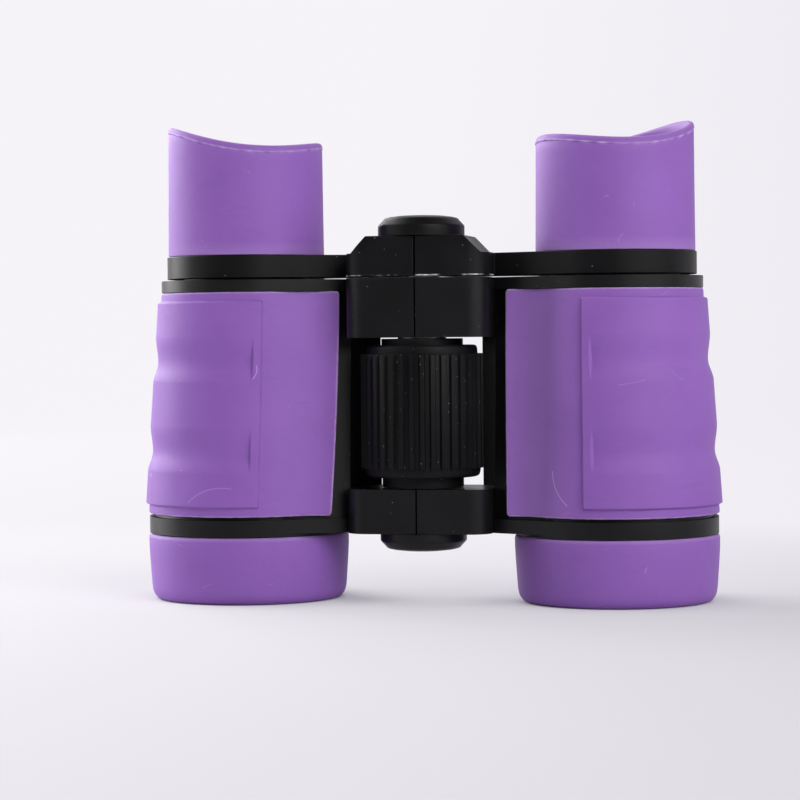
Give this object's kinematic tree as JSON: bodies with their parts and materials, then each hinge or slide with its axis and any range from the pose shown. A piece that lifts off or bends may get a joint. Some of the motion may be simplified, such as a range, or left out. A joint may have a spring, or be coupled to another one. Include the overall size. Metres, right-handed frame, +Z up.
{
  "type": "toy binoculars",
  "caption": "Folding child's binoculars with rubber eyecups, grips and objective hoods, a centre hinge and a ribbed focus wheel that lifts both oculars.",
  "frame": {"origin": "on the surface it stands on, midway between the barrel axes", "axes": "+X across the barrels, -Y towards the focus wheel's side, +Z up to the eyecups"},
  "size_m": [0.1058, 0.0378, 0.0864],
  "materials": {
    "purple_rubber": "matte",
    "black_plastic": "satin",
    "wheel_plastic": "satin",
    "lens_glass": "polished",
    "screw_steel": "turned",
    "nut_brass": "turned"
  },
  "bodies": {
    "left_half": {"left_barrel": "black_plastic", "left_grip": "purple_rubber", "left_hood": "purple_rubber", "left_objective_lens": "lens_glass", "left_objective_retainer": "black_plastic", "hinge_bush": "screw_steel", "hinge_pin": "screw_steel", "bottom_cap": "black_plastic"},
    "right_half": {"right_barrel": "black_plastic", "right_grip": "purple_rubber", "right_hood": "purple_rubber", "right_objective_lens": "lens_glass", "right_objective_retainer": "black_plastic"},
    "focus_drive": {"focus_wheel": "wheel_plastic", "focus_core": "wheel_plastic", "focus_nut": "nut_brass"},
    "left_ocular": {"left_ocular_arm": "black_plastic", "left_eyepiece_tube": "black_plastic", "left_eyepiece_lens": "lens_glass", "left_eyepiece_retainer": "black_plastic", "left_eyecup": "purple_rubber", "focus_screw": "screw_steel", "top_cap": "black_plastic", "cap_washer": "screw_steel"},
    "right_ocular": {"right_ocular_arm": "black_plastic", "right_eyepiece_tube": "black_plastic", "right_eyepiece_lens": "lens_glass", "right_eyepiece_retainer": "black_plastic", "right_eyecup": "purple_rubber"}
  },
  "joints": [
    {"name": "fold", "type": "hinge", "parent": "left_half", "child": "right_half", "pos_m": [0, -0.007, 0], "axis": [0, 0, 1], "range_deg": [0, 50]},
    {"name": "ocular_slide", "type": "slide", "parent": "left_half", "child": "left_ocular", "axis": [0, 0, 1], "range_m": [0, 0.005]},
    {"name": "right_ocular_fold", "type": "hinge", "parent": "left_ocular", "child": "right_ocular", "pos_m": [0, -0.007, 0], "axis": [0, 0, 1], "range_deg": [0, 50]},
    {"name": "focus_turn", "type": "hinge", "parent": "left_half", "child": "focus_drive", "pos_m": [0, -0.007, 0], "axis": [0, 0, 1], "range_deg": [0, 300]}
  ],
  "couplings": [
    {"joint": "right_ocular_fold", "follows": "fold", "ratio": 1},
    {"joint": "focus_turn", "follows": "ocular_slide", "rad_per_m": 1047.2}
  ]
}
